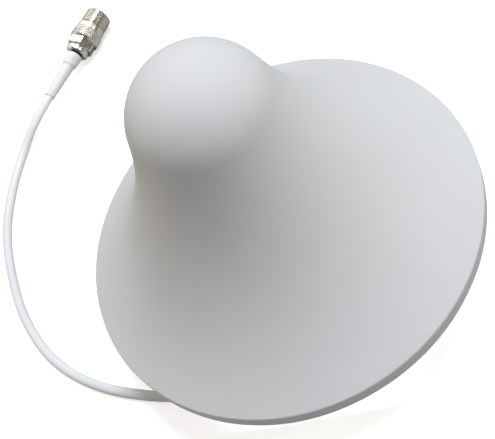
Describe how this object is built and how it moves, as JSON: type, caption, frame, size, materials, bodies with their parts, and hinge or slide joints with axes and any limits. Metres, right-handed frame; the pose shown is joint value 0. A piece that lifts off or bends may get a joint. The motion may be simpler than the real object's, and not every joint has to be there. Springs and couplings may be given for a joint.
{
  "type": "indoor ceiling dome antenna",
  "caption": "White bell-shaped ceiling antenna of a cellular repeater: ball-topped flared radome, threaded mounting stem, and a coaxial pigtail with a threaded jack.",
  "frame": {"origin": "centre of the base's back face, which seats on the ceiling", "axes": "+Z along the dome's axis, from the ceiling face towards the ball's top; in service +Z points down. -Y is the side where the cable leaves the stem, and the jack lies along +Y"},
  "size_m": [0.299, 0.2097, 0.1523],
  "materials": {
    "white_plastic": "fine satin moulded ABS",
    "base_plastic": "moulded ABS",
    "grey_rubber": "soft moulded rubber",
    "zinc_screw": "zinc-plated steel",
    "aluminium_sheet": "rolled and spun sheet",
    "nylon": "natural nylon",
    "brass": "turned brass",
    "cable_jacket": "extruded PVC",
    "white_sleeve": "heat-shrunk polyolefin",
    "tinned_copper": "tinned copper wire",
    "ptfe": "turned PTFE",
    "nickel": "bright nickel plate on turned brass",
    "gold_contact": "gold-plated contact",
    "black_ferrule": "black-oxidised steel tube"
  },
  "bodies": {
    "antenna": {"radome": "white_plastic", "base_plate": "base_plastic", "radome_screws": "zinc_screw", "threaded_stem": "base_plastic", "stem_screws": "zinc_screw", "cable_grommet": "grey_rubber", "ground_plate": "aluminium_sheet", "ground_plate_screws": "zinc_screw", "radiator_cone": "aluminium_sheet", "radiator_drum": "aluminium_sheet", "radiator_cap": "aluminium_sheet", "support_posts": "nylon", "shorting_posts": "brass", "post_screws": "zinc_screw", "inner_cable_jacket": "cable_jacket", "inner_cable_braid": "tinned_copper", "inner_cable_dielectric": "ptfe", "inner_cable_conductor": "tinned_copper", "feed_ferrule": "brass", "feed_insulator": "ptfe", "feed_pin": "brass", "signal_cord": "cable_jacket", "taper_sleeve": "white_sleeve", "wide_sleeve": "white_sleeve", "crimp_ferrule": "black_ferrule", "cord_end_jacket": "cable_jacket", "cord_end_braid": "tinned_copper", "cord_end_dielectric": "ptfe", "cord_end_conductor": "tinned_copper", "jack_back_ring": "nickel", "jack_hex_nut": "nickel", "jack_knurled_ring": "nickel", "jack_shell": "nickel", "jack_insulator": "ptfe", "jack_contact": "gold_contact"},
    "washer": {"mounting_washer": "grey_rubber"},
    "nut": {"mounting_nut": "base_plastic"}
  },
  "joints": [
    {"name": "nut_travel", "type": "slide", "parent": "antenna", "child": "washer", "axis": [0, 0, -1], "range_m": [-0.0024, 0.0095]},
    {"name": "nut_spin", "type": "hinge", "parent": "washer", "child": "nut", "pos_m": [0, 0, -0.0083], "axis": [0, 0, -1], "range_deg": [-430, 1708]}
  ],
  "couplings": [
    {"joint": "nut_travel", "follows": "nut_spin", "m_per_rad": 0.00031831}
  ]
}
